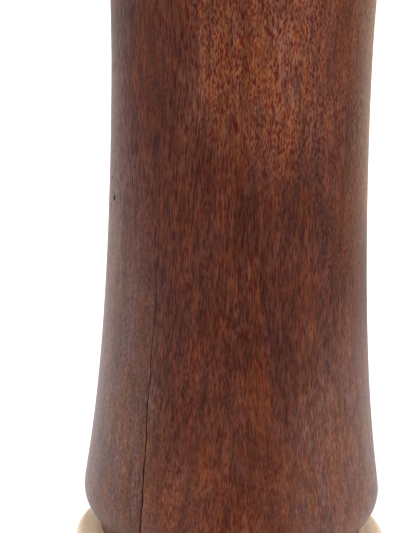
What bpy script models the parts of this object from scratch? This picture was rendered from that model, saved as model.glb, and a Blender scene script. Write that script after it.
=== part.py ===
"""A turned dip pen holder: an hourglass mahogany body between a maple base disc and a maple collar.

The body is bored from the top and lined with a brass cup. A lift-out rack in the collar's mouth holds six
pens upright in brass ferrules, and a steel weight closed in under the well keeps the holder on its feet.
Units are metres, +Z is up, and the origin is on the table under the middle of the holder.
"""

import math

import bmesh
import bpy
from mathutils import Matrix, Vector
from mathutils.geometry import interpolate_bezier

MM = 0.001
GAP = 0.15 * MM  # glue line or running clearance between two touching pieces

# Turned body. Heights are measured up from the base disc's top face.
FOOT_RADIUS = 24.12 * MM  # widest point near the bottom
FOOT_HEIGHT = 7.25 * MM
FOOT_ROUNDING = 6.47 * MM
FOOT_HANDLE = 3.0 * MM  # how long the flank stays upright above the widest point
WAIST_RADIUS = 20.26 * MM
WAIST_HEIGHT = 72.4 * MM
WAIST_HANDLE_DOWN = 47.7 * MM
WAIST_HANDLE_UP = 28.7 * MM
SHOULDER_RADIUS = 23.7 * MM  # widest point near the top
SHOULDER_HEIGHT = 114.0 * MM
SHOULDER_ROUNDING = 6.0 * MM
SHOULDER_HANDLE = 2.0 * MM
LOWER_NECK_RADIUS = 21.37 * MM
LOWER_NECK_HEIGHT = 2.77 * MM
UPPER_NECK_RADIUS = 21.0 * MM
UPPER_NECK_HEIGHT = 2.9 * MM
BODY_HEIGHT = 121.0 * MM
TENON_RADIUS = 18.6 * MM  # spigot on top of the body, glued into the collar
TENON_HEIGHT = 2.1 * MM
WELL_RADIUS = 16.0 * MM
WELL_FLOOR_HEIGHT = 31.0 * MM

# Felt foot, base disc and ballast
FELT_RADIUS = 23.0 * MM
FELT_THICKNESS = 1.5 * MM
BASE_RADIUS = 25.45 * MM
BASE_THICKNESS = 9.5 * MM
BASE_TOP_ROUNDING = 2.0 * MM
BASE_UNDER_ROUNDING = 1.0 * MM
BALLAST_RADIUS = 13.0 * MM
BALLAST_CHAMFER = 0.6 * MM
BALLAST_IN_BASE = 5.0 * MM  # depth of the pocket in the base disc
BALLAST_IN_BODY = 10.0 * MM  # depth of the pocket in the body

# Wood screws that hold the base disc to the body
SCREW_COUNT = 3
SCREW_PITCH_RADIUS = 17.4 * MM
SCREW_HEAD_RADIUS = 3.2 * MM
SCREW_HEAD_HEIGHT = 1.9 * MM
SCREW_HEAD_LAND = 0.25 * MM  # upright rim of the head, below its cone
SCREW_SHANK_RADIUS = 1.7 * MM
SCREW_CORE_RADIUS = 1.2 * MM
SCREW_LENGTH = 17.0 * MM
SCREW_THREADS = 4
SCREW_SET_IN = 0.5 * MM  # how far the head sits inside the base disc's underside
SLOT_WIDTH = 0.9 * MM
SLOT_DEPTH = 0.8 * MM

# Brass liner and the felt pad in it
LINER_WALL = 0.7 * MM
LINER_FLOOR = 0.8 * MM
PAD_THICKNESS = 2.0 * MM

# Collar, the seat in its mouth, and the locating pin
COLLAR_RADIUS = 25.0 * MM
COLLAR_THICKNESS = 10.0 * MM
COLLAR_ROUNDING = 2.0 * MM
SEAT_RADIUS = 19.65 * MM
SEAT_DEPTH = 4.4 * MM
LEDGE_RADIUS = 16.4 * MM
PIN_RADIUS = 0.75 * MM
PIN_LENGTH = 4.2 * MM
PIN_STANDS_UP = 1.9 * MM
PIN_CIRCLE_RADIUS = 18.0 * MM

# Lift-out rack
RACK_CLEARANCE = 0.25 * MM
RACK_THICKNESS = 3.9 * MM
RACK_EDGE = 0.4 * MM
PEN_COUNT = 6
PEN_CIRCLE_RADIUS = 11.0 * MM
FERRULE_BORE = 4.0 * MM
FERRULE_WALL = 0.45 * MM
FERRULE_FLANGE_RADIUS = 5.2 * MM
FERRULE_FLANGE = 0.5 * MM
FERRULE_BELOW_RACK = 1.5 * MM
KNOB_RADIUS = 4.5 * MM
KNOB_FOOT_RADIUS = 4.6 * MM
KNOB_FOOT_HEIGHT = 1.0 * MM
KNOB_STEM_RADIUS = 2.3 * MM
KNOB_HEIGHT = 11.5 * MM
BOLT_RADIUS = 1.25 * MM
BOLT_IN_KNOB = 5.0 * MM
BOLT_HEAD_RADIUS = 2.5 * MM
BOLT_HEAD_HEIGHT = 1.6 * MM
WASHER_RADIUS = 3.4 * MM
WASHER_THICKNESS = 0.6 * MM

# Levels above the table
BASE_Z = FELT_THICKNESS + GAP
BASE_TOP_Z = BASE_Z + BASE_THICKNESS
BODY_TOP_Z = BASE_TOP_Z + BODY_HEIGHT
COLLAR_Z = BODY_TOP_Z + GAP
SEAT_Z = COLLAR_Z + COLLAR_THICKNESS - SEAT_DEPTH
RACK_Z = SEAT_Z + GAP
LINER_Z = BASE_TOP_Z + WELL_FLOOR_HEIGHT + GAP

# Facets round each kind of turned piece
LARGE_STEPS = 48
MEDIUM_STEPS = 24
SMALL_STEPS = 18

# Finishes: linear colour, roughness, metallic
FINISHES = {
    "mahogany": ((0.115, 0.036, 0.018), 0.38, 0.0),
    "maple": ((0.66, 0.47, 0.30), 0.45, 0.0),
    "brass": ((0.72, 0.50, 0.20), 0.28, 1.0),
    "steel": ((0.46, 0.46, 0.47), 0.38, 1.0),
    "green_felt": ((0.016, 0.060, 0.034), 0.95, 0.0),
}


def clear_scene():
    for obj in list(bpy.data.objects):
        bpy.data.objects.remove(obj, do_unlink=True)


def new_collection(name):
    collection = bpy.data.collections.new(name)
    bpy.context.scene.collection.children.link(collection)
    return collection


def make_material(name, colour, roughness, metallic):
    material = bpy.data.materials.new(name)
    material.use_nodes = True
    shader = material.node_tree.nodes["Principled BSDF"]
    shader.inputs["Base Color"].default_value = (*colour, 1.0)
    shader.inputs["Roughness"].default_value = roughness
    shader.inputs["Metallic"].default_value = metallic
    return material


def arc(centre, radius, start, end, steps=4):
    """Points (r, z) on a circular arc of a profile, from one angle in degrees to another."""
    points = []
    for i in range(steps + 1):
        angle = math.radians(start + (end - start) * i / steps)
        points.append((centre[0] + radius * math.cos(angle), centre[1] + radius * math.sin(angle)))
    return points


def flank(start, start_pull, end, end_pull, steps):
    """Points (r, z) on a curve that leaves start and reaches end upright, pulled along Z by the handles."""
    corners = [
        Vector((*start, 0)),
        Vector((start[0], start[1] + start_pull, 0)),
        Vector((end[0], end[1] + end_pull, 0)),
        Vector((*end, 0)),
    ]
    return [(point.x, point.y) for point in interpolate_bezier(*corners, steps + 1)]


def on_circle(radius, index, count, offset=0.0):
    """Place number index of count places round the Z axis, at z = 0."""
    angle = math.radians(offset) + 2 * math.pi * index / count
    return Vector((radius * math.cos(angle), radius * math.sin(angle), 0))


class Builder:
    """Makes the parts and cutters, and files them in their collections."""

    def __init__(self):
        self.parts = new_collection("dip_pen_holder")
        self.cutters = new_collection("cutters")
        self.materials = {name: make_material(name, *look) for name, look in FINISHES.items()}

    def add(self, name, mesh, location, material, parent):
        obj = bpy.data.objects.new(name, mesh)
        obj.location = location
        obj.parent = parent
        mesh.materials.append(self.materials[material])
        self.parts.objects.link(obj)
        return obj

    def turned(self, name, profile, location, material, parent, steps=LARGE_STEPS, ring=False):
        """A solid turned about Z. The profile runs down its outer side, and a ring's closes up its inner side."""
        edges = [(i, i + 1) for i in range(len(profile) - 1)]
        if ring:
            edges.append((len(profile) - 1, 0))
        mesh = bpy.data.meshes.new(name)
        mesh.from_pydata([(r, 0, z) for r, z in profile], edges, [])
        obj = self.add(name, mesh, location, material, parent)
        screw = obj.modifiers.new("turn", "SCREW")
        screw.axis = "Z"
        screw.angle = math.tau
        screw.steps = steps
        screw.render_steps = steps
        screw.use_merge_vertices = True
        screw.merge_threshold = 0.00001
        screw.use_smooth_shade = True
        return obj

    def round_cutter(self, name, rings, place):
        """A round, upright cutter. Its rings are (z, radius) pairs, from the lowest up."""
        shape = bmesh.new()
        loops = []
        for z, radius in rings:
            points = [on_circle(radius, i, SMALL_STEPS) for i in range(SMALL_STEPS)]
            loops.append([shape.verts.new((point.x, point.y, z)) for point in points])
        shape.faces.new(reversed(loops[0]))
        shape.faces.new(loops[-1])
        for low, high in zip(loops, loops[1:]):
            for i in range(SMALL_STEPS):
                j = (i + 1) % SMALL_STEPS
                shape.faces.new((low[i], low[j], high[j], high[i]))
        return self.cutter(name, shape, place)

    def box_cutter(self, name, size, place):
        shape = bmesh.new()
        bmesh.ops.create_cube(shape, size=1.0, matrix=Matrix.Diagonal((*size, 1.0)))
        return self.cutter(name, shape, place)

    def cutter(self, name, shape, place):
        mesh = bpy.data.meshes.new(name)
        shape.to_mesh(mesh)
        shape.free()
        obj = bpy.data.objects.new(name, mesh)
        obj.location = place
        obj.hide_render = True
        obj.display_type = "WIRE"
        self.cutters.objects.link(obj)
        return obj


def cut(obj, tool):
    modifier = obj.modifiers.new(f"cut {tool.name}", "BOOLEAN")
    modifier.operation = "DIFFERENCE"
    modifier.object = tool


def add_anchor(name, location, collection):
    """An empty that a group of pieces is parented to."""
    anchor = bpy.data.objects.new(name, None)
    anchor.location = location
    collection.objects.link(anchor)
    return anchor


def body_profile():
    """The body's outline from its tenon down the outside, then up the ballast pocket to the axis.

    The well is bored afterwards, so the profile starts on the axis. z = 0 is the base disc's top face.
    """
    shoulder_arc_top = BODY_HEIGHT - UPPER_NECK_HEIGHT
    shoulder_turn = math.degrees(math.asin((shoulder_arc_top - SHOULDER_HEIGHT) / SHOULDER_ROUNDING))
    foot_turn = math.degrees(math.asin((FOOT_HEIGHT - LOWER_NECK_HEIGHT) / FOOT_ROUNDING))
    shoulder = (SHOULDER_RADIUS, SHOULDER_HEIGHT)
    waist = (WAIST_RADIUS, WAIST_HEIGHT)
    foot = (FOOT_RADIUS, FOOT_HEIGHT)
    pocket = BALLAST_RADIUS + GAP
    profile = [
        (WELL_RADIUS, BODY_HEIGHT + TENON_HEIGHT),
        (TENON_RADIUS, BODY_HEIGHT + TENON_HEIGHT),
        (TENON_RADIUS, BODY_HEIGHT),
        (UPPER_NECK_RADIUS, BODY_HEIGHT),
        (UPPER_NECK_RADIUS, shoulder_arc_top),
    ]
    profile += arc(
        (SHOULDER_RADIUS - SHOULDER_ROUNDING, SHOULDER_HEIGHT), SHOULDER_ROUNDING, shoulder_turn, 0
    )
    profile += flank(shoulder, -SHOULDER_HANDLE, waist, WAIST_HANDLE_UP, 7)[1:]
    profile += flank(waist, -WAIST_HANDLE_DOWN, foot, FOOT_HANDLE, 8)[1:]
    profile += arc((FOOT_RADIUS - FOOT_ROUNDING, FOOT_HEIGHT), FOOT_ROUNDING, 0, -foot_turn)[1:]
    profile += [
        (LOWER_NECK_RADIUS, LOWER_NECK_HEIGHT),
        (LOWER_NECK_RADIUS, GAP),
        (pocket, GAP),
        (pocket, BALLAST_IN_BODY + GAP),
        (0, BALLAST_IN_BODY + GAP),
        (0, WELL_FLOOR_HEIGHT),
        (WELL_RADIUS, WELL_FLOOR_HEIGHT),
    ]
    return profile


def make_body(builder, holder):
    """The mahogany body. Its profile closes round the well, so it is one loop with two points on the axis."""
    body = builder.turned(
        "mahogany_body", body_profile(), (0, 0, BASE_TOP_Z), "mahogany", holder, ring=True
    )
    for i in range(SCREW_COUNT):
        place = on_circle(SCREW_PITCH_RADIUS, i, SCREW_COUNT, 90) + Vector((0, 0, BASE_TOP_Z))
        depth = SCREW_SET_IN + SCREW_LENGTH + GAP - BASE_THICKNESS
        rings = [(-MM, SCREW_SHANK_RADIUS + GAP), (depth, SCREW_SHANK_RADIUS + GAP)]
        cut(body, builder.round_cutter(f"pilot_hole_{i + 1}", rings, place))


def make_base(builder, holder):
    """The maple base disc, pocketed for the ballast and countersunk from below for the screws."""
    top, under = BASE_TOP_ROUNDING, BASE_UNDER_ROUNDING
    pocket = BALLAST_RADIUS + GAP
    pocket_floor = BASE_THICKNESS - BALLAST_IN_BASE
    profile = [(0, pocket_floor), (pocket, pocket_floor), (pocket, BASE_THICKNESS)]
    profile += arc((BASE_RADIUS - top, BASE_THICKNESS - top), top, 90, 0)
    profile += arc((BASE_RADIUS - under, under), under, 0, -90, 3)
    profile += [(0, 0)]
    base = builder.turned("maple_base", profile, (0, 0, BASE_Z), "maple", holder)
    clear = SCREW_SHANK_RADIUS + GAP
    sink = SCREW_HEAD_RADIUS + GAP
    land_top = SCREW_SET_IN + SCREW_HEAD_LAND
    head_top = SCREW_SET_IN + SCREW_HEAD_HEIGHT
    rings = [(-MM, sink), (land_top, sink), (head_top, clear), (BASE_THICKNESS + MM, clear)]
    for i in range(SCREW_COUNT):
        place = on_circle(SCREW_PITCH_RADIUS, i, SCREW_COUNT, 90) + Vector((0, 0, BASE_Z))
        cut(base, builder.round_cutter(f"screw_hole_{i + 1}", rings, place))


def make_base_screws(builder, holder):
    """Slotted countersunk wood screws, their heads down, with a ridged thread and a pointed tip."""
    thread_start = SCREW_LENGTH * 0.42
    tip_start = SCREW_LENGTH - 2.2 * MM
    pitch = (tip_start - thread_start) / SCREW_THREADS
    profile = [(0, SCREW_LENGTH), (SCREW_CORE_RADIUS, tip_start)]
    for i in range(SCREW_THREADS):
        top = tip_start - i * pitch
        profile.append((SCREW_SHANK_RADIUS, top - pitch * 0.5))
        profile.append((SCREW_CORE_RADIUS, top - pitch))
    profile += [
        (SCREW_SHANK_RADIUS, thread_start - 0.5 * MM),
        (SCREW_SHANK_RADIUS, SCREW_HEAD_HEIGHT),
        (SCREW_HEAD_RADIUS, SCREW_HEAD_LAND),
        (SCREW_HEAD_RADIUS, 0),
        (0, 0),
    ]
    for i in range(SCREW_COUNT):
        place = on_circle(SCREW_PITCH_RADIUS, i, SCREW_COUNT, 90)
        place.z = BASE_Z + SCREW_SET_IN
        name = f"base_screw_{i + 1}"
        screw = builder.turned(name, profile, place, "steel", holder, SMALL_STEPS)
        size = (3 * SCREW_HEAD_RADIUS, SLOT_WIDTH, 2 * SLOT_DEPTH)
        cut(screw, builder.box_cutter(f"slot_{i + 1}", size, place))


def make_ballast(builder, holder):
    """A chamfered steel slug, half in the base disc and half in the body."""
    height = BALLAST_IN_BASE + BALLAST_IN_BODY - GAP
    edge = BALLAST_CHAMFER
    profile = [
        (0, height),
        (BALLAST_RADIUS - edge, height),
        (BALLAST_RADIUS, height - edge),
        (BALLAST_RADIUS, edge),
        (BALLAST_RADIUS - edge, 0),
        (0, 0),
    ]
    level = BASE_TOP_Z - BALLAST_IN_BASE + GAP
    builder.turned("ballast_weight", profile, (0, 0, level), "steel", holder)


def make_felt_foot(builder, holder):
    profile = [(0, FELT_THICKNESS), (FELT_RADIUS, FELT_THICKNESS), (FELT_RADIUS, 0), (0, 0)]
    builder.turned("felt_foot", profile, (0, 0, 0), "green_felt", holder)


def make_liner(builder, holder):
    """A thin brass cup that lines the well, and the felt pad on its floor for the pens to stand on."""
    outer = WELL_RADIUS - GAP
    inner = outer - LINER_WALL
    height = BODY_TOP_Z + TENON_HEIGHT - LINER_Z
    profile = [(0, LINER_FLOOR), (inner, LINER_FLOOR), (inner, height), (outer, height), (outer, 0), (0, 0)]
    builder.turned("brass_liner", profile, (0, 0, LINER_Z), "brass", holder)

    pad = inner - GAP
    profile = [(0, PAD_THICKNESS), (pad, PAD_THICKNESS), (pad, 0), (0, 0)]
    level = LINER_Z + LINER_FLOOR + GAP
    builder.turned("well_pad", profile, (0, 0, level), "green_felt", holder)


def make_collar(builder, holder):
    """The maple collar: a rebate below for the body's tenon, and a stepped mouth above for the rack."""
    rebate = TENON_RADIUS + GAP
    rebate_top = TENON_HEIGHT + GAP
    seat = COLLAR_THICKNESS - SEAT_DEPTH
    rounding = COLLAR_ROUNDING
    profile = [(SEAT_RADIUS, seat), (SEAT_RADIUS, COLLAR_THICKNESS)]
    profile += arc((COLLAR_RADIUS - rounding, COLLAR_THICKNESS - rounding), rounding, 90, 0)
    profile += arc((COLLAR_RADIUS - rounding, rounding), rounding, 0, -90)
    profile += [(rebate, 0), (rebate, rebate_top), (LEDGE_RADIUS, rebate_top), (LEDGE_RADIUS, seat)]
    collar = builder.turned("maple_collar", profile, (0, 0, COLLAR_Z), "maple", holder, ring=True)

    place = on_circle(PIN_CIRCLE_RADIUS, 0, 1, 90)
    pin_bottom = SEAT_Z + PIN_STANDS_UP - PIN_LENGTH
    rings = [(pin_bottom - GAP, PIN_RADIUS + GAP), (SEAT_Z + MM, PIN_RADIUS + GAP)]
    cut(collar, builder.round_cutter("pin_hole", rings, place))

    profile = [(0, PIN_LENGTH), (PIN_RADIUS, PIN_LENGTH), (PIN_RADIUS, 0), (0, 0)]
    place.z = pin_bottom
    builder.turned("locating_pin", profile, place, "brass", holder, SMALL_STEPS)


def make_rack(builder, rack):
    """The rack disc: six holes for pens, one for the knob's bolt and a blind one for the locating pin.

    Everything on the rack is placed from its underside, where the rack's anchor is.
    """
    radius = SEAT_RADIUS - RACK_CLEARANCE
    thick = RACK_THICKNESS
    edge = RACK_EDGE
    profile = [(0, thick)]
    profile += arc((radius - edge, thick - edge), edge, 90, 0, 2)
    profile += arc((radius - edge, edge), edge, 0, -90, 2)
    profile += [(0, 0)]
    disc = builder.turned("pen_rack", profile, (0, 0, 0), "mahogany", rack)
    axis = Vector((0, 0, RACK_Z))
    bore = FERRULE_BORE + FERRULE_WALL + GAP
    for i in range(PEN_COUNT):
        place = on_circle(PEN_CIRCLE_RADIUS, i, PEN_COUNT) + axis
        rings = [(-MM, bore), (thick + MM, bore)]
        cut(disc, builder.round_cutter(f"pen_hole_{i + 1}", rings, place))
    rings = [(-MM, BOLT_RADIUS + GAP), (thick + MM, BOLT_RADIUS + GAP)]
    cut(disc, builder.round_cutter("bolt_hole", rings, axis))
    rings = [(-MM, PIN_RADIUS + GAP), (PIN_STANDS_UP + GAP, PIN_RADIUS + GAP)]
    cut(disc, builder.round_cutter("pin_socket", rings, on_circle(PIN_CIRCLE_RADIUS, 0, 1, 90) + axis))


def make_ferrules(builder, rack):
    """Flanged brass tubes, one pressed into each pen hole from above."""
    inner = FERRULE_BORE
    outer = FERRULE_BORE + FERRULE_WALL
    seat = RACK_THICKNESS + GAP
    top = seat + FERRULE_FLANGE
    round_over = FERRULE_FLANGE / 2
    profile = [(inner, top - round_over / 2), (inner + round_over / 2, top)]
    profile += arc((FERRULE_FLANGE_RADIUS - round_over, top - round_over), round_over, 90, -90, 3)
    profile += [(outer, seat), (outer, -FERRULE_BELOW_RACK), (inner, -FERRULE_BELOW_RACK)]
    for i in range(PEN_COUNT):
        place = on_circle(PEN_CIRCLE_RADIUS, i, PEN_COUNT)
        builder.turned(f"ferrule_{i + 1}", profile, place, "brass", rack, SMALL_STEPS, ring=True)


def make_knob(builder, rack):
    """The turned brass knob with its bolt and washer, which clamp the rack disc between them."""
    ball_centre = KNOB_HEIGHT - KNOB_RADIUS
    stem_turn = math.degrees(math.acos(KNOB_STEM_RADIUS / KNOB_RADIUS))
    hole_radius = BOLT_RADIUS + GAP
    hole_depth = BOLT_IN_KNOB + GAP
    foot = KNOB_FOOT_HEIGHT
    profile = arc((0, ball_centre), KNOB_RADIUS, 90, -stem_turn, 9)
    profile[0] = (0, KNOB_HEIGHT)
    profile += [
        (KNOB_STEM_RADIUS, foot + 0.9 * MM),
        (KNOB_STEM_RADIUS + 0.5 * MM, foot + 0.3 * MM),
        (KNOB_FOOT_RADIUS - 0.3 * MM, foot),
        (KNOB_FOOT_RADIUS, foot - 0.3 * MM),
        (KNOB_FOOT_RADIUS, 0),
        (hole_radius, 0),
        (hole_radius, hole_depth),
        (0, hole_depth),
    ]
    builder.turned("rack_knob", profile, (0, 0, RACK_THICKNESS + GAP), "brass", rack, MEDIUM_STEPS)

    washer_top = -GAP
    washer_low = washer_top - WASHER_THICKNESS
    profile = [
        (hole_radius, washer_top),
        (WASHER_RADIUS, washer_top),
        (WASHER_RADIUS, washer_low),
        (hole_radius, washer_low),
    ]
    builder.turned("knob_washer", profile, (0, 0, 0), "brass", rack, SMALL_STEPS, ring=True)

    head_top = washer_low - GAP
    head_low = head_top - BOLT_HEAD_HEIGHT
    head_edge = 0.4 * MM
    profile = [
        (0, RACK_THICKNESS + GAP + BOLT_IN_KNOB),
        (BOLT_RADIUS, RACK_THICKNESS + GAP + BOLT_IN_KNOB),
        (BOLT_RADIUS, head_top),
        (BOLT_HEAD_RADIUS, head_top),
        (BOLT_HEAD_RADIUS, head_low + head_edge),
        (BOLT_HEAD_RADIUS - head_edge, head_low),
        (0, head_low),
    ]
    bolt = builder.turned("knob_bolt", profile, (0, 0, 0), "brass", rack, SMALL_STEPS)
    size = (3 * BOLT_HEAD_RADIUS, SLOT_WIDTH, 2 * SLOT_DEPTH)
    cut(bolt, builder.box_cutter("bolt_slot", size, (0, 0, RACK_Z + head_low)))


def main():
    clear_scene()
    builder = Builder()
    holder = add_anchor("holder", (0, 0, 0), builder.parts)
    rack = add_anchor("rack", (0, 0, RACK_Z), builder.parts)
    rack.parent = holder

    make_felt_foot(builder, holder)
    make_base(builder, holder)
    make_base_screws(builder, holder)
    make_ballast(builder, holder)
    make_body(builder, holder)
    make_liner(builder, holder)
    make_collar(builder, holder)
    make_rack(builder, rack)
    make_ferrules(builder, rack)
    make_knob(builder, rack)


main()
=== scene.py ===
"""The looks of the turned dip pen holder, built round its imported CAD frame.

Every piece but the hidden ballast and screws is rebuilt here, with a finer profile, where its CAD node is.
The materials are solid textures in millimetres, so the grain runs through each piece as it would through real
timber.
"""

import math

import bmesh
import bpy
import numpy as np
from mathutils import Matrix, Vector
from mathutils.geometry import delaunay_2d_cdt, interpolate_bezier


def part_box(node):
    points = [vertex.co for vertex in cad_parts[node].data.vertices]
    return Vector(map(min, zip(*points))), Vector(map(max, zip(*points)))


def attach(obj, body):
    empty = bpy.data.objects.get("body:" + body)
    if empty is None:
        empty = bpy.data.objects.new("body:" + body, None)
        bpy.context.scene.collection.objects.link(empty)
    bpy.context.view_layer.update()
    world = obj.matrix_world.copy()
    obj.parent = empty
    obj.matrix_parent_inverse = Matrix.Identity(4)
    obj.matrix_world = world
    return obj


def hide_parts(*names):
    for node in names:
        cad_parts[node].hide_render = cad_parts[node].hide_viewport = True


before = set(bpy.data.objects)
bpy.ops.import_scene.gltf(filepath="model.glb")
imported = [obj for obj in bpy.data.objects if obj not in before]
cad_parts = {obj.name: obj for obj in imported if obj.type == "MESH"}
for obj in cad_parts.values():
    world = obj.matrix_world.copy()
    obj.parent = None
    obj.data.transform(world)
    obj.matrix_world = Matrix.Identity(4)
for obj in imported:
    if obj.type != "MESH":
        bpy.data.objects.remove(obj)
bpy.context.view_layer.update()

MM = 0.001


# ---------------------------------------------------------------- places, in millimetres, from the CAD nodes


def extent(node):
    """A node's largest radius from its own axis, and its lowest and highest level, in millimetres."""
    low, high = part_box(node)
    return (high.x - low.x) / 2 / MM, low.z / MM, high.z / MM


def axis_of(node):
    """Where a turned node's own axis stands, in millimetres."""
    low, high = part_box(node)
    return (low.x + high.x) / 2 / MM, (low.y + high.y) / 2 / MM


BASE_R, BASE_LOW, BASE_TOP = extent("maple_base")
FELT_R, FELT_LOW, FELT_TOP = extent("felt_foot")
BODY_R, _, TENON_TOP = extent("mahogany_body")
COLLAR_R, COLLAR_LOW, COLLAR_TOP = extent("maple_collar")
LINER_R, LINER_LOW, LINER_TOP = extent("brass_liner")
PAD_R, PAD_LOW, PAD_TOP = extent("well_pad")
RACK_R, RACK_LOW, RACK_TOP = extent("pen_rack")
KNOB_R, KNOB_LOW, KNOB_TOP = extent("rack_knob")
WASHER_R, WASHER_LOW, WASHER_TOP = extent("knob_washer")
_, BOLT_LOW, BOLT_TOP = extent("knob_bolt")
PIN_R, PIN_LOW, PIN_TOP = extent("locating_pin")
FERRULE_R, FERRULE_LOW, FERRULE_TOP = extent("ferrule_1")


# ---------------------------------------------------------------- profiles


def arc(centre, radius, start, end, steps):
    """Points (r, z) on a circular arc, from one angle in degrees to another."""
    angles = np.radians(np.linspace(start, end, steps + 1))
    return [(centre[0] + radius * math.cos(a), centre[1] + radius * math.sin(a)) for a in angles]


def flank(start, start_pull, end, end_pull, steps):
    """Points (r, z) on a curve that leaves start and reaches end upright, pulled along Z by the handles."""
    corners = [
        Vector((*start, 0)),
        Vector((start[0], start[1] + start_pull, 0)),
        Vector((end[0], end[1] + end_pull, 0)),
        Vector((*end, 0)),
    ]
    return [(p.x, p.y) for p in interpolate_bezier(*corners, steps + 1)]


def rounded(corners, steps=4, closed=False):
    """A profile whose corners (r, z, fillet) are rounded, with a point past each fillet to hold the flats."""
    points = []
    count = len(corners)
    for i, (r, z, fillet) in enumerate(corners):
        here = Vector((r, z))
        inner = closed or 0 < i < count - 1
        if not inner or fillet <= 0:
            points.append((r, z))
            continue
        back = Vector(corners[(i - 1) % count][:2]) - here
        on = Vector(corners[(i + 1) % count][:2]) - here
        turn = back.angle(on)
        reach = fillet / math.tan(turn / 2)
        hold = min(fillet * 0.6, 0.15)
        a, b = back.normalized(), on.normalized()
        centre = here + (a + b).normalized() * (fillet / math.sin(turn / 2))
        start, end = here + a * reach - centre, here + b * reach - centre
        if back.length > reach + 2 * hold:
            points.append(tuple(here + a * (reach + hold)))
        for k in range(steps + 1):
            t = k / steps
            spoke = (start * (1 - t) + end * t).normalized() * fillet
            points.append(tuple(centre + spoke))
        if on.length > reach + 2 * hold:
            points.append(tuple(here + b * (reach + hold)))
    return points


# ---------------------------------------------------------------- meshes


def to_object(name, verts, faces, material, body, node, sharp=35.0):
    """A piece from vertices in millimetres, riding on a body and standing for a CAD node."""
    mesh = bpy.data.meshes.new(name)
    mesh.from_pydata([tuple(v) for v in np.asarray(verts) * MM], [], faces)
    shape = bmesh.new()
    shape.from_mesh(mesh)
    bmesh.ops.recalc_face_normals(shape, faces=shape.faces)
    shape.to_mesh(mesh)
    shape.free()
    mesh.shade_smooth()
    mesh.set_sharp_from_angle(angle=math.radians(sharp))
    mesh.materials.append(material)
    obj = bpy.data.objects.new(name, mesh)
    bpy.context.scene.collection.objects.link(obj)
    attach(obj, body)
    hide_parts(node)
    return obj


def turned(profile, steps, centre=(0.0, 0.0), closed=False):
    """Vertices and faces of a profile (r, z) turned about an upright axis, with single poles where r is 0."""
    verts, rows = [], []
    angles = np.arange(steps) * 2 * math.pi / steps
    for r, z in profile:
        first = len(verts)
        if r < 1e-6:
            verts.append((centre[0], centre[1], z))
            rows.append([first] * steps)
        else:
            verts += [(centre[0] + r * math.cos(a), centre[1] + r * math.sin(a), z) for a in angles]
            rows.append(list(range(first, first + steps)))
    pairs = list(zip(rows, rows[1:]))
    if closed:
        pairs.append((rows[-1], rows[0]))
    return verts, skin(pairs)


def skin(pairs):
    """Faces between pairs of closed rows of vertices. A face that touches a pole is a triangle."""
    faces = []
    for upper, lower in pairs:
        for i in range(len(upper)):
            j = (i + 1) % len(upper)
            corners = list(dict.fromkeys((upper[i], lower[i], lower[j], upper[j])))
            if len(corners) > 2:
                faces.append(corners)
    return faces


def lathe(name, profile, material, body, node, steps=128, centre=(0.0, 0.0), closed=False):
    """A turned piece from its profile (r, z)."""
    verts, faces = turned(profile, steps, centre, closed)
    return to_object(name, verts, faces, material, body, node)


# ---------------------------------------------------------------- node graphs


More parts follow.
